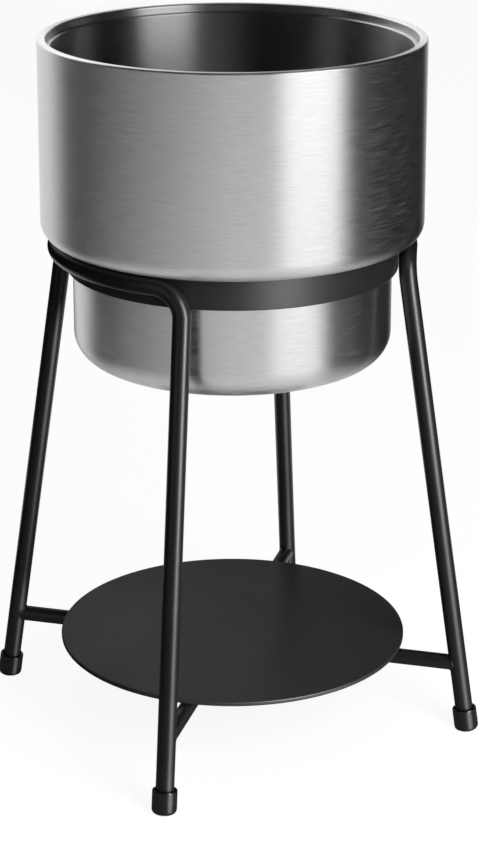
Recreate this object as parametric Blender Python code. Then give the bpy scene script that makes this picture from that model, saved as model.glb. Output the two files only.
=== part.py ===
# An open two-tier steel vessel in a black tube stand with a low round shelf.
# Metres, +Z up, origin on the floor under the vessel's axis. The legs stand on the diagonals:
# left (-X +Y), front (-X -Y), right (+X -Y) and back (+X +Y).

import math

import bmesh
import bpy
from mathutils import Vector

# Clearances
TOUCH_GAP = 0.0003        # between pieces that touch
RING_CUP_FIT = 0.0027     # support ring round the cup
LINER_SEAT_FIT = 0.0006   # liner wall inside the edge of its seat
LINER_CUP_FIT = 0.004     # liner inside the cup's wall
LINER_STEP_FIT = 0.006    # liner's step over the cup's flange
LINER_FLOOR_FIT = 0.009   # liner's floor over the cup's floor
SHELF_LEG_FIT = 0.0445    # shelf's edge to the legs
SCREW_FIT = 0.0003        # screw shank in its hole

# Vessel
CUP_R = 0.142             # outside of the lower cup
CUP_DEPTH = 0.1115        # cup's floor below the shoulder
CUP_CORNER_R = 0.025      # rounded foot of the cup
CUP_FLANGE_W = 0.008      # flange that lies on the shoulder
SHOULDER_W = 0.028        # how far the drum stands out past the cup
DRUM_H = 0.1775           # shoulder to rim
DRUM_CORNER_R = 0.0155    # rounded foot of the drum
LIP_W = 0.0075            # flat lip round the mouth
LIP_EDGE_R = 0.0018       # rounded edges of the lip
SHEET = 0.0012            # wall of the drum and the cup
SEAT_DROP = 0.007         # rim down to the liner's flange
SEAT_W = 0.0031           # turned-in seat that carries the liner

# Liner
LINER_SHEET = 0.0008
LINER_EDGE_R = 0.0018     # rounded inner edge of its flange
LINER_CORNER_R = 0.020    # rounded foot of its lower part
LINER_STEP_R = 0.012      # rounded foot of its upper part

# Stand
RING_TOP_Z = 0.4532       # what the vessel stands on
RING_H = 0.0278
RING_WALL = 0.003
RING_EDGE = 0.0006        # broken edges of the band
TUBE_R = 0.008
TUBE_WALL = 0.0015
BEND_IN_R = 0.018         # inside of the bend from the arc into a leg
LEG_SPREAD_R = 0.222      # leg axis from the middle, at the floor
LEG_TURN = math.radians(45.0)   # a leg from the middle of its frame's arc

# Feet
CAP_WALL = 0.0026
CAP_H = 0.020
CAP_SOLE = 0.0045         # rubber under the tube's end
CAP_EDGE_R = 0.0042       # rounded foot of the cap
CAP_TOP_EDGE = 0.0009     # broken upper edge
CAP_MOUTH = 0.0008        # flare of the bore at the top

# Shelf
SHELF_TOP_Z = 0.0743
SHELF_T = 0.004
SHELF_EDGE = 0.0007
BAR_R = 0.007
BAR_WALL = 0.0015
SCREW_R = 0.002
SCREW_HEAD_R = 0.0038
SCREW_HEAD_H = 0.0022
SCREW_SPREAD_R = 0.110    # screws from the middle of the shelf
SCREW_COVER = 0.001       # shelf left over the end of a screw

# Fineness of the facets
ROUND_STEPS = 48           # vessel, ring and shelf
CAP_STEPS = 20
SCREW_STEPS = 12
TUBE_SIDES = 16
BEND_STEPS = 6
CORNER_STEPS = 5           # round corners of the vessel
EDGE_STEPS = 2             # small rounded edges
ARC_STEP = math.radians(6.0)   # largest turn between two points of an arc
SMOOTH_ANGLE = math.radians(30.0)   # facets that meet more sharply than this keep an edge
MERGE = 0.000001           # points closer than this are one

# Sizes that follow
SHOULDER_Z = RING_TOP_Z + TOUCH_GAP
DRUM_R = CUP_R + SHOULDER_W
SKIRT_R = DRUM_R - LIP_W
SEAT_R = SKIRT_R - SEAT_W
SEAT_H = DRUM_H - SEAT_DROP - LINER_SHEET - TOUCH_GAP   # seat over the shoulder
LINER_TOP_R = SEAT_R - LINER_SEAT_FIT
LINER_LOW_R = CUP_R - SHEET - LINER_CUP_FIT
LINER_FLANGE_R = SKIRT_R - TOUCH_GAP
FLANGE_H = SHEET + TOUCH_GAP                            # cup's flange over the shoulder
RING_IN_R = CUP_R + RING_CUP_FIT
RING_R = RING_IN_R + RING_WALL
ARC_R = (RING_R + TOUCH_GAP + TUBE_R) / math.cos(ARC_STEP / 2)
ARC_Z = RING_TOP_Z - TUBE_R
BEND_R = BEND_IN_R + TUBE_R
LEG_SLOPE = (LEG_SPREAD_R - ARC_R) / ARC_Z
LEG_LEAN = math.atan(LEG_SLOPE)
CAP_BORE_R = TUBE_R + TOUCH_GAP
CAP_R = CAP_BORE_R + CAP_WALL
CAP_DIP = (CAP_R - CAP_EDGE_R) * LEG_SLOPE              # sole below the floor before it is cut level
TUBE_END = CAP_SOLE + TOUCH_GAP                         # tube's end above the floor, along the leg
SHELF_Z = SHELF_TOP_Z - SHELF_T
BAR_Z = SHELF_Z - TOUCH_GAP - BAR_R
SCREW_TOP_Z = SHELF_TOP_Z - SCREW_COVER - SCREW_FIT
SCREW_SEAT_Z = BAR_Z - BAR_R - TOUCH_GAP

# Leg positions, as turns from +X
LEGS = {
    "left": math.radians(135.0),
    "front": math.radians(225.0),
    "right": math.radians(315.0),
    "back": math.radians(45.0),
}

# Colour, metallic and roughness of each finish
BRUSHED_STEEL = ((0.56, 0.56, 0.55), 1.0, 0.30)
BLACK_COAT = ((0.022, 0.022, 0.022), 0.0, 0.42)
BLACK_RUBBER = ((0.012, 0.012, 0.012), 0.0, 0.36)
BLACK_STEEL = ((0.05, 0.05, 0.05), 1.0, 0.45)


def leg_radius(z):
    return ARC_R + LEG_SLOPE * (ARC_Z - z)


def round_corner(centre_r, centre_z, radius, start_deg, end_deg, steps):
    points = []
    for step in range(steps + 1):
        turn = math.radians(start_deg + (end_deg - start_deg) * step / steps)
        points.append((centre_r + radius * math.cos(turn), centre_z + radius * math.sin(turn)))
    return points


def inner_face(path, wall):
    # The same path moved to its left by the wall's thickness, with mitred corners.
    moved = []
    for index, (r, z) in enumerate(path):
        sides = []
        for near, far in ((index - 1, index), (index, index + 1)):
            if near >= 0 and far < len(path):
                along_r = path[far][0] - path[near][0]
                along_z = path[far][1] - path[near][1]
                length = math.hypot(along_r, along_z)
                sides.append((-along_z / length, along_r / length))
        first, last = sides[0], sides[-1]
        share = wall / (1.0 + first[0] * last[0] + first[1] * last[1])
        moved.append((r + share * (first[0] + last[0]), z + share * (first[1] + last[1])))
    return moved


def sheet_outline(path, wall):
    return path + inner_face(path, wall)[::-1]


def finish(name, look):
    colour, metallic, roughness = look
    material = bpy.data.materials.new(name + "_finish")
    material.use_nodes = True
    shader = material.node_tree.nodes["Principled BSDF"]
    shader.inputs["Base Color"].default_value = (*colour, 1.0)
    shader.inputs["Metallic"].default_value = metallic
    shader.inputs["Roughness"].default_value = roughness
    return material


def add_object(name, shape, look, parent):
    bmesh.ops.recalc_face_normals(shape, faces=shape.faces)
    mesh = bpy.data.meshes.new(name)
    shape.to_mesh(mesh)
    shape.free()
    mesh.shade_smooth()
    mesh.set_sharp_from_angle(angle=SMOOTH_ANGLE)
    if look:
        mesh.materials.append(finish(name, look))
    piece = bpy.data.objects.new(name, mesh)
    bpy.context.scene.collection.objects.link(piece)
    piece.parent = parent
    return piece


def add_empty(name, height, parent=None):
    empty = bpy.data.objects.new(name, None)
    bpy.context.scene.collection.objects.link(empty)
    empty.location.z = height
    empty.parent = parent
    return empty


def as_cutter(piece):
    piece.hide_render = True
    piece.display_type = "WIRE"
    return piece


def cut(piece, cutter):
    boolean = piece.modifiers.new("cut_" + cutter.name, "BOOLEAN")
    boolean.operation = "DIFFERENCE"
    boolean.solver = "EXACT"
    boolean.object = cutter


def turned_shape(outline, steps):
    # An outline that starts off the axis closes on itself; one on the axis ends on it too.
    shape = bmesh.new()
    corners = [shape.verts.new((r, 0.0, z)) for r, z in outline]
    ends = list(zip(corners, corners[1:]))
    if outline[0][0] > MERGE:
        ends.append((corners[-1], corners[0]))
    edges = [shape.edges.new(pair) for pair in ends]
    bmesh.ops.spin(shape, geom=corners + edges, axis=(0, 0, 1), angle=2 * math.pi, steps=steps)
    bmesh.ops.remove_doubles(shape, verts=shape.verts, dist=MERGE)
    return shape


def rod_outline(radius, low, high):
    return [(0.0, low), (radius, low), (radius, high), (0.0, high)]


def path_frames(path):
    # One frame for each point of the path, carried along it without twisting.
    frames = []
    across = None
    for index, point in enumerate(path):
        before = path[max(index - 1, 0)]
        after = path[min(index + 1, len(path) - 1)]
        into = (point - before).normalized() if index else (after - point).normalized()
        out = (after - point).normalized() if index < len(path) - 1 else into
        along = (into + out).normalized()
        if across is None:
            across = along.orthogonal().normalized()
        across = (across - along * across.dot(along)).normalized()
        widen = 1.0 / along.dot(into)
        fold = (out - into).normalized() if (out - into).length > MERGE else across
        frames.append((point, across, along.cross(across), fold, widen))
    return frames


def tube_wall(shape, frames, radius):
    # Rings of points along the path; a ring at a bend is stretched across its fold to keep the bore.
    rings = []
    for point, across, beside, fold, widen in frames:
        ring = []
        for side in range(TUBE_SIDES):
            turn = 2 * math.pi * side / TUBE_SIDES
            arm = (across * math.cos(turn) + beside * math.sin(turn)) * radius
            arm += fold * (arm.dot(fold) * (widen - 1.0))
            ring.append(shape.verts.new(point + arm))
        rings.append(ring)
    for ring, following in zip(rings, rings[1:]):
        join_rings(shape, ring, following)
    return rings


def join_rings(shape, ring, following):
    for side in range(len(ring)):
        beyond = (side + 1) % len(ring)
        shape.faces.new((ring[side], ring[beyond], following[beyond], following[side]))


def tube_shape(path, radius, wall):
    shape = bmesh.new()
    frames = path_frames(path)
    outside = tube_wall(shape, frames, radius)
    bore = tube_wall(shape, frames, radius - wall)
    for end in (0, -1):
        join_rings(shape, outside[end], bore[end])
    return shape


def frame_path(middle):
    # The bent tube laid out flat: a level run, a round bend and a straight leg to each side.
    # Rolled up round the axis, every point moves outwards with its drop below the arc.
    run = ARC_R * LEG_TURN - BEND_R
    run_steps = math.ceil(run / ARC_R / ARC_STEP)
    half = [(run * step / run_steps, 0.0) for step in range(run_steps)]
    for along, drop in round_corner(run, BEND_R, BEND_R, -90.0, 0.0, BEND_STEPS):
        half.append((along, drop))
    half.append((run + BEND_R, ARC_Z - TUBE_END * math.cos(LEG_LEAN)))
    flat = [(-along, drop) for along, drop in half[:0:-1]] + half
    return [around(leg_radius(ARC_Z - drop), middle + along / ARC_R, ARC_Z - drop)
            for along, drop in flat]


def around(radius, turn, z):
    return Vector((radius * math.cos(turn), radius * math.sin(turn), z))


def stand_on_leg(piece, turn):
    piece.location = around(LEG_SPREAD_R, turn, 0.0)
    piece.rotation_euler = (0.0, -LEG_LEAN, turn)


def make_support_ring(stand):
    low = RING_TOP_Z - RING_H
    outline = [
        (RING_IN_R + RING_EDGE, low),
        (RING_R - RING_EDGE, low),
        (RING_R, low + RING_EDGE),
        (RING_R, RING_TOP_Z - RING_EDGE),
        (RING_R - RING_EDGE, RING_TOP_Z),
        (RING_IN_R + RING_EDGE, RING_TOP_Z),
        (RING_IN_R, RING_TOP_Z - RING_EDGE),
        (RING_IN_R, low + RING_EDGE),
    ]
    add_object("support_ring", turned_shape(outline, ROUND_STEPS), BLACK_COAT, stand)


def make_leg_frames(stand):
    for name, middle in (("left_leg_frame", math.pi), ("right_leg_frame", 0.0)):
        add_object(name, tube_shape(frame_path(middle), TUBE_R, TUBE_WALL), BLACK_COAT, stand)


def make_foot_caps(stand):
    sole = -CAP_DIP
    outline = [(0.0, sole)]
    outline += round_corner(CAP_R - CAP_EDGE_R, sole + CAP_EDGE_R, CAP_EDGE_R, -90.0, 0.0, EDGE_STEPS)
    outline += [
        (CAP_R, CAP_H - CAP_TOP_EDGE),
        (CAP_R - CAP_TOP_EDGE, CAP_H),
        (CAP_BORE_R + CAP_MOUTH, CAP_H),
        (CAP_BORE_R, CAP_H - CAP_MOUTH),
        (CAP_BORE_R, CAP_SOLE),
        (0.0, CAP_SOLE),
    ]
    up = (math.sin(LEG_LEAN), 0.0, math.cos(LEG_LEAN))
    for place, turn in LEGS.items():
        shape = turned_shape(outline, CAP_STEPS)
        everything = shape.verts[:] + shape.edges[:] + shape.faces[:]
        level = bmesh.ops.bisect_plane(shape, geom=everything, dist=MERGE, plane_co=(0, 0, 0),
                                       plane_no=up, clear_inner=True)
        rim = [edge for edge in level["geom_cut"] if isinstance(edge, bmesh.types.BMEdge)]
        bmesh.ops.holes_fill(shape, edges=rim)
        stand_on_leg(add_object("foot_cap_" + place, shape, BLACK_RUBBER, stand), turn)


def make_leg_cutters(stand):
    cutters = {}
    for place, turn in LEGS.items():
        rod = turned_shape(rod_outline(TUBE_R + TOUCH_GAP, CAP_H, ARC_Z / 2), TUBE_SIDES * 2)
        cutters[place] = as_cutter(add_object("leg_cutter_" + place, rod, None, stand))
        stand_on_leg(cutters[place], turn)
    return cutters


def make_screw_cutters(stand):
    cutters = {}
    for place, turn in LEGS.items():
        hole = rod_outline(SCREW_R + SCREW_FIT, SCREW_SEAT_Z - BAR_R, SHELF_TOP_Z - SCREW_COVER)
        rod = turned_shape(hole, SCREW_STEPS)
        cutters[place] = as_cutter(add_object("screw_cutter_" + place, rod, None, stand))
        cutters[place].location = around(SCREW_SPREAD_R, turn, 0.0)
    return cutters


def make_bars(stand, leg_cutters, screw_cutters):
    reach = leg_radius(BAR_Z)
    through = around(reach, LEGS["right"], BAR_Z)
    ends = [around(reach, LEGS["left"], BAR_Z), through]
    cross_bar = add_object("cross_bar", tube_shape(ends, BAR_R, BAR_WALL), BLACK_COAT, stand)
    for place in ("left", "right"):
        cut(cross_bar, leg_cutters[place])
        cut(cross_bar, screw_cutters[place])

    rod = turned_shape(rod_outline(BAR_R + TOUCH_GAP, -reach, reach), TUBE_SIDES * 2)
    bar_cutter = as_cutter(add_object("bar_cutter", rod, None, stand))
    bar_cutter.location.z = BAR_Z
    bar_cutter.rotation_euler = (0.0, math.pi / 2, LEGS["right"])
    for place in ("front", "back"):
        ends = [Vector((0.0, 0.0, BAR_Z)), around(reach, LEGS[place], BAR_Z)]
        half_bar = add_object(place + "_half_bar", tube_shape(ends, BAR_R, BAR_WALL), BLACK_COAT, stand)
        cut(half_bar, leg_cutters[place])
        cut(half_bar, bar_cutter)
        cut(half_bar, screw_cutters[place])


def make_shelf(stand, screw_cutters):
    edge_r = leg_radius(SHELF_TOP_Z) - TUBE_R - SHELF_LEG_FIT
    outline = [
        (0.0, SHELF_Z),
        (edge_r - SHELF_EDGE, SHELF_Z),
        (edge_r, SHELF_Z + SHELF_EDGE),
        (edge_r, SHELF_TOP_Z - SHELF_EDGE),
        (edge_r - SHELF_EDGE, SHELF_TOP_Z),
        (0.0, SHELF_TOP_Z),
    ]
    shelf = add_object("shelf_plate", turned_shape(outline, ROUND_STEPS), BLACK_COAT, stand)
    for cutter in screw_cutters.values():
        cut(shelf, cutter)

    shoulder = SCREW_HEAD_R - SCREW_HEAD_H / 2
    screw = [
        (0.0, SCREW_SEAT_Z - SCREW_HEAD_H),
        (shoulder, SCREW_SEAT_Z - SCREW_HEAD_H),
        (SCREW_HEAD_R, SCREW_SEAT_Z - SCREW_HEAD_H / 2),
        (SCREW_HEAD_R, SCREW_SEAT_Z),
        (SCREW_R, SCREW_SEAT_Z),
        (SCREW_R, SCREW_TOP_Z),
        (0.0, SCREW_TOP_Z),
    ]
    for place, turn in LEGS.items():
        piece = add_object("shelf_screw_" + place, turned_shape(screw, SCREW_STEPS), BLACK_STEEL, stand)
        piece.location = around(SCREW_SPREAD_R, turn, 0.0)


def make_drum(vessel):
    # Along the outside: shoulder, wall, lip, skirt inside the mouth, seat for the liner.
    path = [(CUP_R + TOUCH_GAP, 0.0)]
    path += round_corner(DRUM_R - DRUM_CORNER_R, DRUM_CORNER_R, DRUM_CORNER_R, -90.0, 0.0, CORNER_STEPS)
    path += round_corner(DRUM_R - LIP_EDGE_R, DRUM_H - LIP_EDGE_R, LIP_EDGE_R, 0.0, 90.0, EDGE_STEPS)
    path += round_corner(SKIRT_R + LIP_EDGE_R, DRUM_H - LIP_EDGE_R, LIP_EDGE_R, 90.0, 180.0, EDGE_STEPS)
    path += [(SKIRT_R, SEAT_H), (SEAT_R, SEAT_H)]
    shape = turned_shape(sheet_outline(path, SHEET), ROUND_STEPS)
    add_object("drum_shell", shape, BRUSHED_STEEL, vessel)


def make_cup(vessel):
    path = [(0.0, -CUP_DEPTH)]
    path += round_corner(CUP_R - CUP_CORNER_R, CUP_CORNER_R - CUP_DEPTH, CUP_CORNER_R,
                         -90.0, 0.0, CORNER_STEPS)
    path += [(CUP_R, FLANGE_H), (CUP_R + CUP_FLANGE_W, FLANGE_H)]
    shape = turned_shape(sheet_outline(path, SHEET), ROUND_STEPS)
    add_object("cup_shell", shape, BRUSHED_STEEL, vessel)


def make_liner(liner):
    # Heights from the underside of the liner's flange.
    below = SEAT_H + TOUCH_GAP
    step_z = FLANGE_H + SHEET + LINER_STEP_FIT - below
    floor_z = SHEET + LINER_FLOOR_FIT - CUP_DEPTH - below
    edge_r = LINER_EDGE_R - LINER_SHEET
    path = [(0.0, floor_z)]
    path += round_corner(LINER_LOW_R - LINER_CORNER_R, floor_z + LINER_CORNER_R, LINER_CORNER_R,
                         -90.0, 0.0, CORNER_STEPS)
    path += [(LINER_LOW_R, step_z)]
    path += round_corner(LINER_TOP_R - LINER_STEP_R, step_z + LINER_STEP_R, LINER_STEP_R,
                         -90.0, 0.0, CORNER_STEPS)
    path += round_corner(LINER_TOP_R + edge_r, -edge_r, edge_r, 180.0, 90.0, EDGE_STEPS)
    path += [(LINER_FLANGE_R, 0.0)]
    shape = turned_shape(sheet_outline(path, LINER_SHEET), ROUND_STEPS)
    add_object("inner_liner", shape, BRUSHED_STEEL, liner)


def main():
    for old in list(bpy.data.objects):
        bpy.data.objects.remove(old, do_unlink=True)
    stand = add_empty("stand", 0.0)
    vessel = add_empty("vessel", SHOULDER_Z)
    liner = add_empty("liner", SEAT_H + TOUCH_GAP, vessel)

    make_support_ring(stand)
    make_leg_frames(stand)
    make_foot_caps(stand)
    leg_cutters = make_leg_cutters(stand)
    screw_cutters = make_screw_cutters(stand)
    make_bars(stand, leg_cutters, screw_cutters)
    make_shelf(stand, screw_cutters)
    make_drum(vessel)
    make_cup(vessel)
    make_liner(liner)


main()
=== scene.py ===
import math

import bmesh
import bpy
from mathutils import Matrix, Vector


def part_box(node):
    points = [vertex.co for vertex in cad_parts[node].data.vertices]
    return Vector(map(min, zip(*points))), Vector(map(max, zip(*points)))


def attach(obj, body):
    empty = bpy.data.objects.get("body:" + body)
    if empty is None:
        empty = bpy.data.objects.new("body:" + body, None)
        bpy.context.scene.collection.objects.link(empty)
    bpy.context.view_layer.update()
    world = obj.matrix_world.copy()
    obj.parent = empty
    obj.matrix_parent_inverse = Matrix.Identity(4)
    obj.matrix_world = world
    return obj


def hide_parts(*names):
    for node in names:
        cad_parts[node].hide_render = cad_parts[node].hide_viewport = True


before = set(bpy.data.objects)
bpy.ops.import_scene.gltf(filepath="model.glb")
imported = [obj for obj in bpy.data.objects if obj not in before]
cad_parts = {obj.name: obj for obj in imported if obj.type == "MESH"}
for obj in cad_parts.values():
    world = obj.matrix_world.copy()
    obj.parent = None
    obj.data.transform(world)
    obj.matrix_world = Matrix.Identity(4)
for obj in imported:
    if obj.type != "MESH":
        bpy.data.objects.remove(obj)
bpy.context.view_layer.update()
print("frame loaded:", len(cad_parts), "nodes")

# An open steel vessel in a black tube stand. Metres, +Z up; the legs stand on the diagonals.
mm = 0.001
roundSteps = 256          # facets round the vessel, the ring and the shelf


def hexLinear(code):
    channels = [int(code[at:at + 2], 16) / 255 for at in (1, 3, 5)]
    return [c / 12.92 if c <= 0.04045 else ((c + 0.055) / 1.055) ** 2.4 for c in channels] + [1.0]


def addNode(tree, kind, settings=None, links=None):
    # settings are a node's own values or its inputs; links go from a socket into an input
    node = tree.nodes.new(kind)
    for name, value in (settings or {}).items():
        if isinstance(name, str) and hasattr(node, name):
            setattr(node, name, value)
        else:
            node.inputs[name].default_value = value
    for name, socket in (links or {}).items():
        tree.links.new(socket, node.inputs[name])
    return node


def newMaterial(name):
    material = bpy.data.materials.new(name)
    material.use_nodes = True
    material.node_tree.nodes.clear()
    return material, material.node_tree


# Materials


def stainlessBrushed(name, look):
    # 304 stainless, brushed round the axis with a belt: long fine scratches along the surface's u,
    # so that highlights stay narrow round the axis and smear out along it
    material, tree = newMaterial(name)
    uv = addNode(tree, "ShaderNodeUVMap", {"uv_map": "around"})
    scratches = []
    for long, wide in look["scratches"]:
        stretched = addNode(tree, "ShaderNodeMapping", {"Scale": (1 / long, 1 / wide, 1.0)},
                            {"Vector": uv.outputs["UV"]})
        scratches.append(addNode(tree, "ShaderNodeTexNoise",
                                 {"Scale": 1.0, "Detail": 2.0, "Roughness": 0.6},
                                 {"Vector": stretched.outputs["Vector"]}))
    place = addNode(tree, "ShaderNodeTexCoord")
    cloud = addNode(tree, "ShaderNodeTexNoise", {"Scale": 1 / look["cloudSize"], "Detail": 2.0},
                    {"Vector": place.outputs["Object"]})
    both = addNode(tree, "ShaderNodeMath", {"operation": "ADD"},
                   {0: scratches[0].outputs["Fac"], 1: scratches[1].outputs["Fac"]})
    grainLow, grainHigh = 0.7, 1.3          # nearly all of the two noises' sum lies between these
    grain = addNode(tree, "ShaderNodeMapRange", {"From Min": grainLow, "From Max": grainHigh},
                    {"Value": both.outputs["Value"]})
    tone = addNode(tree, "ShaderNodeMix", {"data_type": "RGBA"}, {0: grain.outputs["Result"]})
    tone.inputs[6].default_value = hexLinear(look["dark"])
    tone.inputs[7].default_value = hexLinear(look["light"])
    # the deep scratches scatter light every way, so they shine in the dark parts of a reflection
    deep = addNode(tree, "ShaderNodeMapRange",
                   {"From Min": look["deepFrom"], "From Max": look["deepTo"]},
                   {"Value": scratches[1].outputs["Fac"]})
    metal = addNode(tree, "ShaderNodeMapRange", {"To Min": 1.0, "To Max": 1.0 - look["scatter"]},
                    {"Value": deep.outputs["Result"]})
    worn = addNode(tree, "ShaderNodeMath", {"operation": "MULTIPLY_ADD", 1: look["cloudShare"]},
                   {0: cloud.outputs["Fac"], 2: deep.outputs["Result"]})
    low, high = look["roughness"]
    rough = addNode(tree, "ShaderNodeMapRange",
                    {"From Max": 1.0 + look["cloudShare"], "To Min": low, "To Max": high},
                    {"Value": worn.outputs["Value"]})
    bump = addNode(tree, "ShaderNodeBump", {"Strength": look["bump"], "Distance": look["depth"]},
                   {"Height": both.outputs["Value"]})
    along = addNode(tree, "ShaderNodeTangent", {"direction_type": "UV_MAP", "uv_map": "around"})
    quarterTurn = 0.25                      # highlights smear across the scratches
    shader = addNode(tree, "ShaderNodeBsdfPrincipled",
                     {"Anisotropic": look["anisotropic"], "Anisotropic Rotation": quarterTurn},
                     {"Metallic": metal.outputs["Result"], "Base Color": tone.outputs[2],
                      "Roughness": rough.outputs["Result"],
                      "Normal": bump.outputs["Normal"], "Tangent": along.outputs["Tangent"]})
    addNode(tree, "ShaderNodeOutputMaterial", None, {"Surface": shader.outputs["BSDF"]})
    return material


def powderCoat(name, look):
    # Polyester powder baked onto steel: a satin skin with a fine orange peel and tiny specks
    material, tree = newMaterial(name)
    place = addNode(tree, "ShaderNodeTexCoord")
    peel = addNode(tree, "ShaderNodeTexNoise", {"Scale": 1 / look["peelSize"], "Detail": 2.0},
                   {"Vector": place.outputs["Object"]})
    grit = addNode(tree, "ShaderNodeTexNoise", {"Scale": 1 / look["gritSize"], "Detail": 1.0},
                   {"Vector": place.outputs["Object"]})
    cloud = addNode(tree, "ShaderNodeTexNoise", {"Scale": 1 / look["cloudSize"], "Detail": 2.0},
                    {"Vector": place.outputs["Object"]})
    tone = addNode(tree, "ShaderNodeMix", {"data_type": "RGBA"}, {0: grit.outputs["Fac"]})
    tone.inputs[6].default_value = hexLinear(look["dark"])
    tone.inputs[7].default_value = hexLinear(look["light"])
    low, high = look["roughness"]
    cloudLow, cloudHigh = 0.3, 0.7          # nearly all of the noise lies between these
    rough = addNode(tree, "ShaderNodeMapRange",
                    {"From Min": cloudLow, "From Max": cloudHigh, "To Min": low, "To Max": high},
                    {"Value": cloud.outputs["Fac"]})
    skin = addNode(tree, "ShaderNodeMath", {"operation": "MULTIPLY_ADD", 1: look["gritShare"]},
                   {0: grit.outputs["Fac"], 2: peel.outputs["Fac"]})
    bump = addNode(tree, "ShaderNodeBump", {"Strength": look["bump"], "Distance": look["depth"]},
                   {"Height": skin.outputs["Value"]})
    shader = addNode(tree, "ShaderNodeBsdfPrincipled", {"Specular IOR Level": look["specular"]},
                     {"Base Color": tone.outputs[2], "Roughness": rough.outputs["Result"],
                      "Normal": bump.outputs["Normal"]})
    addNode(tree, "ShaderNodeOutputMaterial", None, {"Surface": shader.outputs["BSDF"]})
    return material


steelOutside = stainlessBrushed("stainlessBrushedOutside", {
    "dark": "#b4b4b4", "light": "#c8c8c8", "roughness": (0.31, 0.40), "anisotropic": 0.92,
    "scratches": ((14 * mm, 0.7 * mm), (32 * mm, 0.7 * mm)),   # drawn about twice as coarse to show
    "deepFrom": 0.44, "deepTo": 0.68, "scatter": 0.062,
    "cloudSize": 70 * mm, "cloudShare": 0.15, "bump": 0.10, "depth": 0.1 * mm,
})
# the same brushed steel as the outside, its tone painted darker: painted shade for the hollow
# inside the vessel
steelInsideShaded = stainlessBrushed("stainlessBrushedInsideShaded", {
    "dark": "#a5a5a5", "light": "#b8b8b8", "roughness": (0.32, 0.44), "anisotropic": 0.92,
    "scratches": ((14 * mm, 0.7 * mm), (32 * mm, 0.7 * mm)),
    "deepFrom": 0.45, "deepTo": 0.65, "scatter": 0.01,
    "cloudSize": 80 * mm, "cloudShare": 0.15, "bump": 0.08, "depth": 0.1 * mm,
})
# the same black coat as the flat pieces, its tone painted darker to take back the strong lamp on
# the tubes: painted shade
coatTubeShaded = powderCoat("powderCoatTubeShaded", {
    "dark": "#0c0c0c", "light": "#141414", "roughness": (0.31, 0.37), "specular": 0.5,
    "peelSize": 2.2 * mm, "gritSize": 0.7 * mm, "gritShare": 0.3, "cloudSize": 60 * mm,
    "bump": 0.06, "depth": 0.2 * mm,
})
coatFlat = powderCoat("powderCoatFlat", {
    "dark": "#101010", "light": "#181818", "roughness": (0.41, 0.47), "specular": 0.5,
    "peelSize": 2.2 * mm, "gritSize": 0.7 * mm, "gritShare": 0.4, "cloudSize": 90 * mm,
    "bump": 0.08, "depth": 0.2 * mm,
})
rubberMoulded = powderCoat("rubberMoulded", {
    "dark": "#080808", "light": "#0d0d0d", "roughness": (0.20, 0.26), "specular": 1.0,
    "peelSize": 3.0 * mm, "gritSize": 0.9 * mm, "gritShare": 0.2, "cloudSize": 15 * mm,
    "bump": 0.05, "depth": 0.2 * mm,
})
screwBlackened = powderCoat("screwSteelBlackened", {
    "dark": "#101010", "light": "#1c1c1c", "roughness": (0.34, 0.46), "specular": 0.6,
    "peelSize": 1.0 * mm, "gritSize": 0.4 * mm, "gritShare": 0.5, "cloudSize": 5 * mm,
    "bump": 0.10, "depth": 0.1 * mm,
})
print("materials made")


# Shapes


def roundCorner(centreR, centreZ, radius, startDeg, endDeg, steps=10):
    sweep = endDeg - startDeg
    turns = [math.radians(startDeg + sweep * step / steps) for step in range(steps + 1)]
    return [(centreR + radius * math.cos(t), centreZ + radius * math.sin(t)) for t in turns]


def innerFace(path, wall):
    # the path moved to its left by the wall, with mitred corners
    moved = []
    for at, point in enumerate(path):
        sides = []
        for near, far in ((at - 1, at), (at, at + 1)):
            if near >= 0 and far < len(path):
                run = Vector(path[far]) - Vector(path[near])
                sides.append(Vector((-run.y, run.x)).normalized())
        share = wall / (1.0 + sides[0].dot(sides[-1]))
        moved.append(tuple(Vector(point) + (sides[0] + sides[-1]) * share))
    return moved


def easedOutline(outline, closed, ease=0.35 * mm, longest=9 * mm):
    # holds the shading flat: points just inside the ends of each straight run, and along long ones
    eased = []
    pairs = list(zip(outline, outline[1:]))
    if closed:
        pairs.append((outline[-1], outline[0]))
    for start, end in pairs:
        eased.append(start)
        run = Vector(end) - Vector(start)
        if run.length > 3 * ease:
            inside = run.length - 2 * ease
            count = max(1, math.ceil(inside / longest))
            for step in range(count + 1):
                along = ease + inside * step / count
                eased.append(tuple(Vector(start) + run.normalized() * along))
    if not closed:
        eased.append(outline[-1])
    return eased


def turnedMesh(name, outline, steps=roundSteps):
    # turns an outline, its outside on the right, round Z; the map "around" is in metres
    closed = outline[0][0] > 0
    points = easedOutline(outline, closed)
    reach = max(r for r, z in points)
    verts, rings, lengths = [], [], [0.0]
    for at, (r, z) in enumerate(points):
        count = steps if r > 1e-9 else 1
        rings.append([len(verts) + step for step in range(count)])
        for step in range(count):
            turn = 2 * math.pi * step / steps
            verts.append((r * math.cos(turn), r * math.sin(turn), z))
        if at:
            lengths.append(lengths[-1] + math.dist(points[at - 1], points[at]))
    ends = list(range(len(points) - 1)) + ([len(points) - 1] if closed else [])
    faces, uvs = [], []
    for low in ends:
        high = (low + 1) % len(points)
        top = lengths[low] + math.dist(points[low], points[high])
        for step in range(steps):
            corners = [(low, step), (low, step + 1), (high, step + 1), (high, step)]
            if len(rings[low]) == 1:
                corners.pop(0)
            if len(rings[high]) == 1:
                corners.pop(-1)
            faces.append([rings[k][s % len(rings[k])] for k, s in corners])
            uvs += [(2 * math.pi * reach * s / steps, lengths[low] if k == low else top)
                    for k, s in corners]
    mesh = bpy.data.meshes.new(name)
    mesh.from_pydata(verts, [], faces)
    layer = mesh.uv_layers.new(name="around")
    for loop, uv in zip(layer.data, uvs):
        loop.uv = uv
    mesh.shade_smooth()
    return mesh


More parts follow.
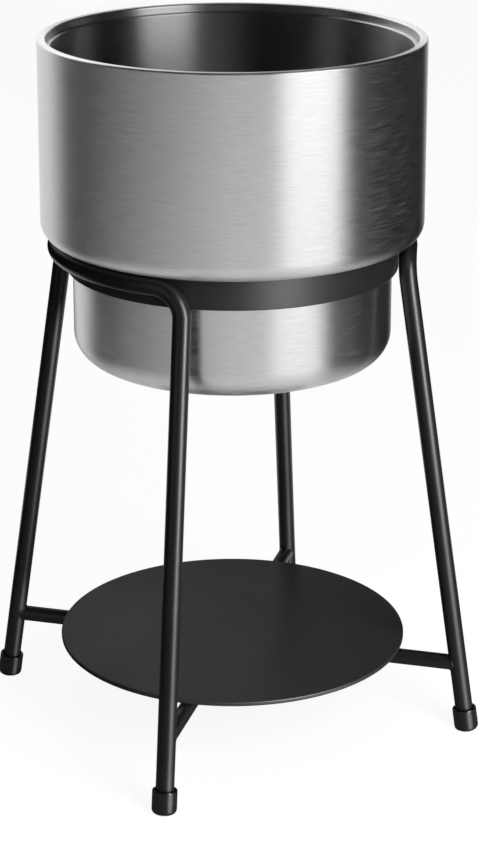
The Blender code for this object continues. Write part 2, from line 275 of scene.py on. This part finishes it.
def addPiece(name, mesh, material=None):
    if material:
        mesh.materials.clear()
        mesh.materials.append(material)
    piece = bpy.data.objects.new(name, mesh)
    bpy.context.scene.collection.objects.link(piece)
    return piece


def settle(piece, body, slot, *nodes):
    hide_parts(*nodes)
    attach(piece, body)


def newTree(name, inputs):
    tree = bpy.data.node_groups.new(name, "GeometryNodeTree")
    for label, kind in inputs.items():
        tree.interface.new_socket(label, in_out="INPUT", socket_type="NodeSocket" + kind)
    tree.interface.new_socket("Geometry", in_out="OUTPUT", socket_type="NodeSocketGeometry")
    return tree, addNode(tree, "NodeGroupInput").outputs


def endTree(tree, shape, material):
    smooth = addNode(tree, "GeometryNodeSetShadeSmooth", None, {"Geometry": shape})
    real = addNode(tree, "GeometryNodeRealizeInstances", None,
                   {"Geometry": smooth.outputs["Geometry"]})
    painted = addNode(tree, "GeometryNodeSetMaterial", None,
                      {"Geometry": real.outputs["Geometry"], "Material": material})
    addNode(tree, "NodeGroupOutput", None, {"Geometry": painted.outputs["Geometry"]})
    return tree


def grow(name, tree, mesh, values):
    # runs a tree on a mesh and keeps the result as a plain mesh
    guide = addPiece(name + "Guide", mesh)
    modifier = guide.modifiers.new("grow", "NODES")
    modifier.node_group = tree
    for item in tree.interface.items_tree:
        if item.in_out == "INPUT" and item.name in values:
            modifier[item.identifier] = values[item.name]
    seen = guide.evaluated_get(bpy.context.evaluated_depsgraph_get())
    grown = bpy.data.meshes.new_from_object(seen)
    guide.modifiers.remove(modifier)
    bpy.data.objects.remove(guide)
    return addPiece(name, grown)


def pathMesh(name, paths):
    # each path is a list of points and whether it closes on itself
    verts, edges = [], []
    for points, closed in paths:
        first = len(verts)
        verts += points
        edges += [(first + at, first + at + 1) for at in range(len(points) - 1)]
        if closed:
            edges.append((first + len(points) - 1, first))
    mesh = bpy.data.meshes.new(name)
    mesh.from_pydata(verts, edges, [])
    return mesh


def tubeAlongPath():
    # a round tube or weld bead along every path; the ripple swells a bead at each stitch
    tree, given = newTree("tubeAlongPath", {
        "Geometry": "Geometry", "Radius": "Float", "Sides": "Int", "Ripple": "Float",
        "Stitch": "Float", "Material": "Material"})
    curve = addNode(tree, "GeometryNodeMeshToCurve", None, {"Mesh": given["Geometry"]})
    along = addNode(tree, "GeometryNodeSplineParameter")
    turns = addNode(tree, "ShaderNodeMath", {"operation": "DIVIDE"},
                    {0: along.outputs["Length"], 1: given["Stitch"]})
    angle = addNode(tree, "ShaderNodeMath", {"operation": "MULTIPLY", 1: 2 * math.pi},
                    {0: turns.outputs["Value"]})
    wave = addNode(tree, "ShaderNodeMath", {"operation": "SINE"}, {0: angle.outputs["Value"]})
    swell = addNode(tree, "ShaderNodeMath", {"operation": "MULTIPLY_ADD", 2: 1.0},
                    {0: wave.outputs["Value"], 1: given["Ripple"]})
    ring = addNode(tree, "GeometryNodeCurvePrimitiveCircle", None,
                   {"Resolution": given["Sides"], "Radius": given["Radius"]})
    tube = addNode(tree, "GeometryNodeCurveToMesh", {"Fill Caps": True},
                   {"Curve": curve.outputs["Curve"], "Profile Curve": ring.outputs["Curve"],
                    "Scale": swell.outputs["Value"]})
    return endTree(tree, tube.outputs["Mesh"], given["Material"])


def oneOnEachLeg():
    # copies of the given shape at the four leg places, leaning in with the legs
    tree, given = newTree("oneOnEachLeg", {
        "Geometry": "Geometry", "Spread": "Float", "Lean": "Float", "Material": "Material"})
    corners = addNode(tree, "GeometryNodeMeshCircle", {"Vertices": 4}, {"Radius": given["Spread"]})
    diagonal = addNode(tree, "GeometryNodeTransform", {"Rotation": (0.0, 0.0, math.pi / 4)},
                       {"Geometry": corners.outputs["Mesh"]})
    index = addNode(tree, "GeometryNodeInputIndex")
    turn = addNode(tree, "ShaderNodeMath",
                   {"operation": "MULTIPLY_ADD", 1: math.pi / 2, 2: math.pi / 4},
                   {0: index.outputs["Index"]})
    inwards = addNode(tree, "ShaderNodeMath", {"operation": "MULTIPLY", 1: -1.0},
                      {0: given["Lean"]})
    facing = addNode(tree, "ShaderNodeCombineXYZ", None,
                     {"Y": inwards.outputs["Value"], "Z": turn.outputs["Value"]})
    copies = addNode(tree, "GeometryNodeInstanceOnPoints", None,
                     {"Points": diagonal.outputs["Geometry"], "Instance": given["Geometry"],
                      "Rotation": facing.outputs["Vector"]})
    return endTree(tree, copies.outputs["Instances"], given["Material"])


tubeTree = tubeAlongPath()
legTree = oneOnEachLeg()
print("node trees made")


# Vessel

drumLow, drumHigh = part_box("drum_shell")
vessel = {
    "drumRadius": drumHigh.x, "shoulderZ": drumLow.z, "rimZ": drumHigh.z, "wall": 1.2 * mm,
    "drumCorner": 15.5 * mm, "lipWidth": 7.5 * mm, "lipEdge": 1.8 * mm,
    "cupRadius": 142 * mm, "cupCorner": 25 * mm, "cupFlange": 8 * mm,
    "linerWall": 0.8 * mm, "linerDrop": 7 * mm, "linerEdge": 1.8 * mm, "seatWidth": 3.1 * mm,
    "linerFit": 0.6 * mm, "touch": 0.3 * mm, "linerStepEdge": 3 * mm,
    "linerCorner": 20 * mm, "linerStep": 12 * mm, "linerCupFit": 4 * mm, "linerStepFit": 6 * mm,
}


def makeDrum(v):
    skirt = v["drumRadius"] - v["lipWidth"]
    edge = v["lipEdge"]
    seatZ = v["rimZ"] - v["linerDrop"] - v["linerWall"] - v["touch"]
    path = [(v["cupRadius"] + v["touch"], v["shoulderZ"])]
    path += roundCorner(v["drumRadius"] - v["drumCorner"], v["shoulderZ"] + v["drumCorner"],
                        v["drumCorner"], -90, 0, 20)
    path += roundCorner(v["drumRadius"] - edge, v["rimZ"] - edge, edge, 0, 90)
    path += roundCorner(skirt + edge, v["rimZ"] - edge, edge, 90, 180)
    path += [(skirt, seatZ), (skirt - v["seatWidth"], seatZ)]
    outline = path + innerFace(path, v["wall"])[::-1]
    drum = addPiece("brushedDrum", turnedMesh("brushedDrum", outline), steelOutside)
    settle(drum, "vessel", "brushed_steel", "drum_shell")


def makeCup(v):
    cupLow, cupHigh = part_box("cup_shell")
    flangeZ = cupHigh.z - v["wall"]
    path = [(0.0, cupLow.z)]
    path += roundCorner(v["cupRadius"] - v["cupCorner"], cupLow.z + v["cupCorner"], v["cupCorner"],
                        -90, 0, 24)
    path += [(v["cupRadius"], flangeZ), (v["cupRadius"] + v["cupFlange"], flangeZ)]
    outline = path + innerFace(path, v["wall"])[::-1]
    cup = addPiece("brushedCup", turnedMesh("brushedCup", outline), steelOutside)
    settle(cup, "vessel", "brushed_steel", "cup_shell")


def makeLiner(v):
    low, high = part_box("inner_liner")
    wall = v["linerWall"]
    topR = v["drumRadius"] - v["lipWidth"] - v["seatWidth"] - v["linerFit"]
    lowR = v["cupRadius"] - v["wall"] - v["linerCupFit"]
    stepZ = v["shoulderZ"] + 2 * v["wall"] + v["touch"] + v["linerStepFit"]
    edge = v["linerEdge"] - wall
    flangeZ = high.z - wall
    path = [(0.0, low.z)]
    path += roundCorner(lowR - v["linerCorner"], low.z + v["linerCorner"], v["linerCorner"],
                        -90, 0, 20)
    path += roundCorner(lowR + v["linerStepEdge"], stepZ - v["linerStepEdge"], v["linerStepEdge"],
                        180, 90)
    path += roundCorner(topR - v["linerStep"], stepZ + v["linerStep"], v["linerStep"], -90, 0, 16)
    path += roundCorner(topR + edge, flangeZ - edge, edge, 180, 90)
    path += [(high.x, flangeZ)]
    outline = path + innerFace(path, wall)[::-1]
    liner = addPiece("brushedLiner", turnedMesh("brushedLiner", outline), steelInsideShaded)
    settle(liner, "liner", "brushed_steel", "inner_liner")


makeDrum(vessel)
makeCup(vessel)
makeLiner(vessel)
print("vessel made")


# Stand

ringLow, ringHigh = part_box("support_ring")
shelfLow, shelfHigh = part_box("shelf_plate")
stand = {
    "ringWall": 3 * mm, "ringEdge": 0.8 * mm, "tubeRadius": 8 * mm, "bendRadius": 26 * mm,
    "spread": 222 * mm, "touch": 0.3 * mm, "facetStep": math.radians(6.0), "tubeSides": 40,
    "shelfEdge": 1.1 * mm, "barRadius": 7 * mm, "beadRadius": 0.7 * mm, "beadSides": 10,
    "beadRipple": 0.08, "beadStitch": 1.4 * mm, "soleAlong": 4.8 * mm,
    "runSteps": 40, "bendSteps": 24, "legSteps": 24, "barSteps": 24, "beadSteps": 96,
}
stand["arcRadius"] = ((ringHigh.x + stand["touch"] + stand["tubeRadius"])
                      / math.cos(stand["facetStep"] / 2))
stand["arcZ"] = ringHigh.z - stand["tubeRadius"]
stand["slope"] = (stand["spread"] - stand["arcRadius"]) / stand["arcZ"]
stand["lean"] = math.atan(stand["slope"])
stand["barZ"] = shelfLow.z - stand["touch"] - stand["barRadius"]
legTurns = {"left": math.radians(135), "front": math.radians(225),
            "right": math.radians(315), "back": math.radians(45)}


def legRadius(s, z):
    return s["arcRadius"] + s["slope"] * (s["arcZ"] - z)


def around(radius, turn, z):
    return Vector((radius * math.cos(turn), radius * math.sin(turn), z))


def makeRing(s):
    inner, outer, edge = ringHigh.x - s["ringWall"], ringHigh.x, s["ringEdge"]
    low, high = ringLow.z, ringHigh.z
    outline = roundCorner(inner + edge, low + edge, edge, 180, 270, 6)
    outline += roundCorner(outer - edge, low + edge, edge, -90, 0, 6)
    outline += roundCorner(outer - edge, high - edge, edge, 0, 90, 6)
    outline += roundCorner(inner + edge, high - edge, edge, 90, 180, 6)
    ring = addPiece("coatedRing", turnedMesh("coatedRing", outline), coatFlat)
    settle(ring, "stand", "black_coat", "support_ring")


def framePath(s, middle):
    # laid out flat: a level run, a round bend and a straight leg to each side
    run = s["arcRadius"] * math.pi / 4 - s["bendRadius"]
    half = [(run * step / s["runSteps"], 0.0) for step in range(s["runSteps"])]
    half += roundCorner(run, s["bendRadius"], s["bendRadius"], -90, 0, s["bendSteps"])
    legEnd = s["arcZ"] - s["soleAlong"] * math.cos(s["lean"])
    legAt, bendEnd = half[-1]
    half += [(legAt, bendEnd + (legEnd - bendEnd) * step / s["legSteps"])
             for step in range(1, s["legSteps"] + 1)]
    flat = [(-along, drop) for along, drop in half[:0:-1]] + half
    places = [(along / s["arcRadius"], s["arcZ"] - drop) for along, drop in flat]
    return [around(legRadius(s, z), middle + turn, z) for turn, z in places]


def makeLegFrames(s):
    tube = {"Radius": s["tubeRadius"], "Sides": s["tubeSides"], "Ripple": 0.0, "Stitch": 1.0,
            "Material": coatTubeShaded}
    for side, middle in (("left", math.pi), ("right", 0.0)):
        path = pathMesh(side + "LegPath", [(framePath(s, middle), False)])
        legs = grow(side + "LegTube", tubeTree, path, tube)
        settle(legs, "stand", "black_coat", side + "_leg_frame")


def makeBars(s):
    tube = {"Radius": s["barRadius"], "Sides": s["tubeSides"], "Ripple": 0.0, "Stitch": 1.0,
            "Material": coatTubeShaded}
    reach = legRadius(s, s["barZ"]) - s["tubeRadius"] / 2   # ends inside the leg, under the weld
    runs = (
        ("crossBarTube", "cross_bar", "right", -reach),
        ("frontHalfBarTube", "front_half_bar", "front", s["barRadius"] / 2),
        ("backHalfBarTube", "back_half_bar", "back", s["barRadius"] / 2),
    )
    for name, node, leg, start in runs:
        ends = [around(start, legTurns[leg], s["barZ"]), around(reach, legTurns[leg], s["barZ"])]
        points = [ends[0].lerp(ends[1], step / s["barSteps"]) for step in range(s["barSteps"] + 1)]
        bar = grow(name, tubeTree, pathMesh(name, [(points, False)]), tube)
        settle(bar, "stand", "black_coat", node)


def makeWelds(s):
    # beads where a bar meets its leg: the line that the two round tubes share
    bead = {"Radius": s["beadRadius"], "Sides": s["beadSides"], "Ripple": s["beadRipple"],
            "Stitch": s["beadStitch"], "Material": coatTubeShaded}
    loops = []
    for turn in legTurns.values():
        loop = []
        for step in range(s["beadSteps"]):
            angle = 2 * math.pi * step / s["beadSteps"]
            side, rise = s["barRadius"] * math.cos(angle), s["barRadius"] * math.sin(angle)
            deep = -math.sqrt(s["tubeRadius"] ** 2 - side ** 2)
            inwards = (deep - rise * math.sin(s["lean"])) / math.cos(s["lean"])
            across = Vector((-math.sin(turn), math.cos(turn), 0.0)) * side
            out = legRadius(s, s["barZ"]) + inwards
            loop.append(around(out, turn, s["barZ"] + rise) + across)
        loops.append((loop, True))
    welds = grow("barWelds", tubeTree, pathMesh("barWelds", loops), bead)
    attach(welds, "stand")


def makeShelf(s):
    edge, outer = s["shelfEdge"], shelfHigh.x
    outline = [(0.0, shelfLow.z)]
    outline += roundCorner(outer - edge, shelfLow.z + edge, edge, -90, 0, 8)
    outline += roundCorner(outer - edge, shelfHigh.z - edge, edge, 0, 90, 8)
    outline += [(0.0, shelfHigh.z)]
    shelf = addPiece("coatedShelf", turnedMesh("coatedShelf", outline), coatFlat)
    settle(shelf, "stand", "black_coat", "shelf_plate")


foot = {
    "wall": 2.6 * mm, "height": 20 * mm, "sole": 4.5 * mm, "edge": 4.2 * mm, "topEdge": 0.9 * mm,
    "mouth": 0.8 * mm, "steps": 64,
}


def makeFeet(s, f):
    bore = s["tubeRadius"] + s["touch"]
    outer = bore + f["wall"]
    dip = (outer - f["edge"]) * s["slope"]
    outline = [(0.0, -dip)]
    outline += roundCorner(outer - f["edge"], f["edge"] - dip, f["edge"], -90, 0, 12)
    outline += roundCorner(outer - f["topEdge"], f["height"] - f["topEdge"], f["topEdge"], 0, 90, 6)
    outline += [(bore + f["mouth"], f["height"]), (bore, f["height"] - 2 * f["mouth"]),
                (bore, f["sole"]), (0.0, f["sole"])]
    mesh = turnedMesh("rubberCap", outline, f["steps"])
    shape = bmesh.new()
    shape.from_mesh(mesh)
    up = (math.sin(s["lean"]), 0.0, math.cos(s["lean"]))
    level = bmesh.ops.bisect_plane(shape, geom=shape.verts[:] + shape.edges[:] + shape.faces[:],
                                   dist=1e-7, plane_co=(0, 0, 0), plane_no=up, clear_inner=True)
    rim = [edge for edge in level["geom_cut"] if isinstance(edge, bmesh.types.BMEdge)]
    bmesh.ops.holes_fill(shape, edges=rim)
    bmesh.ops.recalc_face_normals(shape, faces=shape.faces)
    shape.to_mesh(mesh)
    shape.free()
    feet = grow("rubberFeet", legTree, mesh,
                {"Spread": s["spread"], "Lean": s["lean"], "Material": rubberMoulded})
    settle(feet, "stand", "black_rubber", *["foot_cap_" + place for place in legTurns])


screw = {"spread": 110 * mm, "headRadius": 3.8 * mm, "headHeight": 2.2 * mm, "shank": 2 * mm,
         "socketRadius": 1.4 * mm, "socketDepth": 1.2 * mm, "steps": 36, "domeSteps": 10}


def makeScrews(s, c):
    # button heads under the bars, each with a hexagon socket
    low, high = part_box("shelf_screw_left")
    seat = low.z + c["headHeight"]
    outline = [(0.0, low.z + c["socketDepth"]), (c["socketRadius"], low.z + c["socketDepth"]),
               (c["socketRadius"], low.z)]
    domeTurns = [math.pi / 2 * step / c["domeSteps"] for step in range(1, c["domeSteps"] + 1)]
    outline += [(c["socketRadius"] + (c["headRadius"] - c["socketRadius"]) * math.sin(t),
                 seat - c["headHeight"] * math.cos(t)) for t in domeTurns]
    outline += [(c["shank"], seat), (c["shank"], high.z), (0.0, high.z)]
    mesh = turnedMesh("shelfScrew", outline, c["steps"])
    hair = 1e-6
    for vert in mesh.vertices:
        away = math.hypot(vert.co.x, vert.co.y)
        if hair < away < c["socketRadius"] + hair and vert.co.z < seat:
            corner = (math.atan2(vert.co.y, vert.co.x) + 2 * math.pi) % (math.pi / 3) - math.pi / 6
            share = math.cos(math.pi / 6) / math.cos(corner)
            vert.co.x, vert.co.y = vert.co.x * share, vert.co.y * share
    screws = grow("shelfScrews", legTree, mesh,
                  {"Spread": c["spread"], "Lean": 0.0, "Material": screwBlackened})
    settle(screws, "stand", "black_steel", *["shelf_screw_" + place for place in legTurns])


makeRing(stand)
makeLegFrames(stand)
makeBars(stand)
makeWelds(stand)
makeShelf(stand)
makeFeet(stand, foot)
makeScrews(stand, screw)
print("stand made")


# Studio

studio = {
    "sensor": 36.0, "lens": 2380 * 36 / 842,    # in mm, from 2380 rows in a picture of 842
    "distance": 2.041, "height": 1.007, "azimuth": -29.8, "pitch": 15.26, "near": 0.05, "far": 60.0,
    "shiftX": 0.0084, "shiftY": -0.22, "skyLight": 0.55, "aimHeight": 0.35, "farUp": 1000.0,
}


def aimCamera(c):
    data = bpy.data.cameras.new("studioCamera")
    data.sensor_width, data.lens = c["sensor"], c["lens"]
    data.shift_x, data.shift_y = c["shiftX"], c["shiftY"]
    data.clip_start, data.clip_end = c["near"], c["far"]
    camera = bpy.data.objects.new("studioCamera", data)
    bpy.context.scene.collection.objects.link(camera)
    turn = math.radians(c["azimuth"])
    camera.location = (math.sin(turn) * c["distance"], -math.cos(turn) * c["distance"], c["height"])
    camera.rotation_euler = (math.radians(90 - c["pitch"]), 0.0, turn)
    bpy.context.scene.camera = camera


def seenRays(tree):
    # 1 for what the camera sees itself, in a mirror or through glass
    ray = addNode(tree, "ShaderNodeLightPath")
    direct = addNode(tree, "ShaderNodeMath", {"operation": "MAXIMUM"},
                     {0: ray.outputs["Is Camera Ray"], 1: ray.outputs["Is Glossy Ray"]})
    seen = addNode(tree, "ShaderNodeMath", {"operation": "MAXIMUM"},
                   {0: direct.outputs["Value"], 1: ray.outputs["Is Transmission Ray"]})
    return seen.outputs["Value"]


def whiteSky(c):
    # white to the camera, dimmer as a light
    world = bpy.data.worlds.new("studioSky")
    bpy.context.scene.world = world
    world.use_nodes = True
    tree = world.node_tree
    tree.nodes.clear()
    level = addNode(tree, "ShaderNodeMapRange", {"To Min": c["skyLight"], "To Max": 1.0},
                    {"Value": seenRays(tree)})
    sky = addNode(tree, "ShaderNodeBackground", {"Color": (1.0, 1.0, 1.0, 1.0)},
                  {"Strength": level.outputs["Result"]})
    addNode(tree, "ShaderNodeOutputWorld", None, {"Surface": sky.outputs["Background"]})


steelPieces = ("brushedDrum", "brushedCup", "brushedLiner")


def lightOnly(source, name, pieces):
    # the source lights these pieces and no others
    lit = bpy.data.collections.get(name) or bpy.data.collections.new(name)
    for piece in pieces:
        if piece not in lit.objects:
            lit.objects.link(bpy.data.objects[piece])
    source.light_linking.receiver_collection = lit


floor = {"size": 14.0, "paint": 0.95, "glow": 0.9, "drop": 0.5 * mm}


def paleFloor(f):
    # white to the camera and in mirrors, with a share of plain paint left that takes the shadow
    mesh = bpy.data.meshes.new("paleFloor")
    size = f["size"]
    mesh.from_pydata([(-size, -size, 0), (size, -size, 0), (size, size, 0), (-size, size, 0)], [],
                     [(0, 1, 2, 3)])
    material, tree = newMaterial("paleFloor")
    material.cycles.emission_sampling = "NONE"
    share = addNode(tree, "ShaderNodeMath", {"operation": "MULTIPLY", 1: f["glow"]},
                    {0: seenRays(tree)})
    paint = addNode(tree, "ShaderNodeBsdfDiffuse", {"Color": (f["paint"],) * 3 + (1.0,)})
    glow = addNode(tree, "ShaderNodeEmission", {"Color": (1.0, 1.0, 1.0, 1.0), "Strength": 1.0})
    mixed = addNode(tree, "ShaderNodeMixShader", None,
                    {0: share.outputs["Value"], 1: paint.outputs["BSDF"],
                     2: glow.outputs["Emission"]})
    addNode(tree, "ShaderNodeOutputMaterial", None, {"Surface": mixed.outputs["Shader"]})
    plane = addPiece("paleFloor", mesh, material)
    plane.location.z = -f["drop"]
    lightOnly(plane, "steelPieces", steelPieces)


curtain = {
    "radius": 2.6, "high": 3.6, "inner": 0.42, "apron": 0.75, "roofHole": 10 * mm,
    "floorZ": 1 * mm, "edge": 10 * mm, "steps": 180,
    "floorGrey": 0.9, "roofGrey": 0.02, "brightest": 6.0,
    # for each height, where its cloth has faded in, then turns from the camera to its right in
    # degrees with the brightness there
    "bands": (
        (None, ((-180, 0.95), (-130, 0.95), (-109, 0.13), (-92, 0.14), (-60, 0.41), (-30, 0.75),
                (0, 1.16), (20, 1.23), (30, 1.30), (59, 1.30), (74, 0.115), (100, 0.04),
                (150, 0.02), (160, 0.80), (180, 0.95))),
        ((0.5, 0.8), ((-180, 1.4), (-135, 1.4), (-115, 0.02), (24, 0.02), (32, 4.8), (60, 4.8),
                      (68, 0.02), (150, 0.02), (160, 1.0), (180, 1.4))),
        ((1.5, 1.8), ((-180, 1.2), (-172, 2.2), (-125, 2.2), (-110, 0.02), (25, 0.02), (33, 0.9),
                      (60, 0.9), (68, 0.02), (172, 0.02), (180, 1.2))),
    ),
}


def greyCurtain(c):
    # cloth round the set and on the floor that only reflections see: it gives the steel its bands
    steps, floorZ, roofZ = c["steps"], c["floorZ"], c["high"]
    rings = ((c["inner"], floorZ), (c["apron"], floorZ), (c["radius"], floorZ),
             (c["radius"], roofZ), (c["roofHole"], roofZ))
    verts, faces = [], []
    for radius, z in rings:
        for step in range(steps):
            turn = 2 * math.pi * step / steps
            verts.append((radius * math.cos(turn), radius * math.sin(turn), z))
    for ring in range(len(rings) - 1):
        for step in range(steps):
            low, following = ring * steps + step, ring * steps + (step + 1) % steps
            faces.append((low, low + steps, following + steps, following))
    mesh = bpy.data.meshes.new("greyCurtain")
    mesh.from_pydata(verts, [], faces)
    material, tree = newMaterial("greyCurtain")
    material.cycles.emission_sampling = "NONE"
    place = addNode(tree, "ShaderNodeTexCoord")
    turned = addNode(tree, "ShaderNodeMapping",
                     {"Rotation": (0.0, 0.0, math.radians(90 - studio["azimuth"]))},
                     {"Vector": place.outputs["Object"]})
    parts = addNode(tree, "ShaderNodeSeparateXYZ", None, {"Vector": turned.outputs["Vector"]})
    angle = addNode(tree, "ShaderNodeMath", {"operation": "ARCTAN2"},
                    {0: parts.outputs["Y"], 1: parts.outputs["X"]})
    share = addNode(tree, "ShaderNodeMapRange", {"From Min": -math.pi, "From Max": math.pi},
                    {"Value": angle.outputs["Value"]})
    flat = addNode(tree, "ShaderNodeCombineXYZ", None,
                   {"X": parts.outputs["X"], "Y": parts.outputs["Y"]})
    reach = addNode(tree, "ShaderNodeVectorMath", {"operation": "LENGTH"},
                    {0: flat.outputs["Vector"]})
    mixed = None
    for fade, tones in c["bands"]:
        ramp = addNode(tree, "ShaderNodeValToRGB", None, {"Fac": share.outputs["Result"]})
        stops = ramp.color_ramp.elements
        stops.remove(stops[1])
        for at, (turn, tone) in enumerate(tones):
            stop = stops[0] if at == 0 else stops.new((turn + 180) / 360)
            stop.position = (turn + 180) / 360
            stop.color = (tone / c["brightest"],) * 3 + (1.0,)
        if fade is None:
            mixed = ramp.outputs["Color"]
            continue
        rise = addNode(tree, "ShaderNodeMapRange", {"From Min": fade[0], "From Max": fade[1]},
                       {"Value": parts.outputs["Z"]})
        blend = addNode(tree, "ShaderNodeMix", {"data_type": "RGBA"},
                        {0: rise.outputs["Result"], 6: mixed, 7: ramp.outputs["Color"]})
        mixed = blend.outputs[2]
    near = addNode(tree, "ShaderNodeMapRange", {"From Min": c["apron"], "From Max": c["inner"]},
                   {"Value": reach.outputs["Value"]})
    low = addNode(tree, "ShaderNodeMath", {"operation": "LESS_THAN", 1: c["edge"]},
                  {0: parts.outputs["Z"]})
    apron = addNode(tree, "ShaderNodeMath", {"operation": "MULTIPLY"},
                    {0: near.outputs["Result"], 1: low.outputs["Value"]})
    roof = addNode(tree, "ShaderNodeMath", {"operation": "GREATER_THAN", 1: roofZ - c["edge"]},
                   {0: parts.outputs["Z"]})
    for amount, tone in ((apron.outputs["Value"], c["floorGrey"]),
                         (roof.outputs["Value"], c["roofGrey"])):
        blend = addNode(tree, "ShaderNodeMix", {"data_type": "RGBA"}, {0: amount, 6: mixed})
        blend.inputs[7].default_value = (tone / c["brightest"],) * 3 + (1.0,)
        mixed = blend.outputs[2]
    glow = addNode(tree, "ShaderNodeEmission", {"Strength": c["brightest"]}, {"Color": mixed})
    addNode(tree, "ShaderNodeOutputMaterial", None, {"Surface": glow.outputs["Emission"]})
    cloth = addPiece("greyCurtain", mesh, material)
    cloth.visible_camera = False
    cloth.visible_diffuse = False
    cloth.visible_shadow = False
    cloth.visible_transmission = False
    lightOnly(cloth, "steelPieces", steelPieces)


flatPieces = ("coatedRing", "coatedShelf", "paleFloor")
tubePieces = ("leftLegTube", "rightLegTube", "crossBarTube", "frontHalfBarTube", "backHalfBarTube",
              "barWelds", "rubberFeet", "shelfScrews")
lamps = (
    # turn is from the camera to its right in degrees, watts the power of the whole lamp
    {"name": "bandSoftbox", "turn": 34, "distance": 1.5, "height": 0.76, "width": 0.70, "tall": 1.5,
     "watts": 46.0, "lights": flatPieces},
    {"name": "tubeSoftbox", "turn": 45, "distance": 1.5, "height": 0.20, "width": 0.50, "tall": 2.6,
     "watts": 64.0, "lights": tubePieces + ("coatedShelf",)},
    {"name": "steelHaze", "turn": 8, "distance": 0.85, "height": 0.54, "width": 0.35, "tall": 0.50,
     "watts": 9.5, "lights": steelPieces},
    {"name": "fill", "turn": -42, "distance": 1.7, "height": 0.70, "width": 0.70, "tall": 1.4,
     "watts": 1.0, "lights": flatPieces + tubePieces},
    {"name": "backdropLamp", "turn": -162, "distance": 2.2, "height": 1.35, "width": 1.8,
     "tall": 1.1, "watts": 3.9, "lights": flatPieces + tubePieces},
    {"name": "floorBounce", "turn": 180, "distance": 0.75, "height": 0.003, "width": 1.6,
     "tall": 0.9, "watts": 4.0, "lights": flatPieces + tubePieces},
)


def hangLamps(c):
    # these light the black pieces and the floor; the steel mirrors the curtain instead, and its own
    # lamp reaches only what the deep scratches scatter
    blocking = bpy.data.collections.new("blockingPieces")
    for piece in steelPieces + flatPieces + tubePieces:
        if piece != "paleFloor":
            blocking.objects.link(bpy.data.objects[piece])
    for given in lamps:
        data = bpy.data.lights.new(given["name"], "AREA")
        data.shape, data.size, data.size_y = "RECTANGLE", given["width"], given["tall"]
        data.energy = given["watts"]
        lamp = bpy.data.objects.new(given["name"], data)
        bpy.context.scene.collection.objects.link(lamp)
        place = math.radians(c["azimuth"] + given["turn"])
        lamp.location = (math.sin(place) * given["distance"], -math.cos(place) * given["distance"],
                         given["height"])
        aim = Vector((0.0, 0.0, c["aimHeight"])) - lamp.location
        if given["height"] < 10 * mm:               # lies on the floor and shines straight up
            aim = Vector((-aim.x, -aim.y, c["farUp"]))
        elif given["height"] < given["tall"] / 2:   # reaches below the floor and shines through it
            lamp.light_linking.blocker_collection = blocking
        lamp.rotation_mode = "QUATERNION"
        lamp.rotation_quaternion = aim.to_track_quat("-Z", "Y")
        lamp.visible_camera = False
        lamp.visible_glossy = given["lights"] != steelPieces
        lightOnly(lamp, given["name"] + "Pieces", given["lights"])


aimCamera(studio)
whiteSky(studio)
paleFloor(floor)
greyCurtain(curtain)
hangLamps(studio)
bpy.context.scene.view_settings.view_transform = "Standard"
print("studio made")
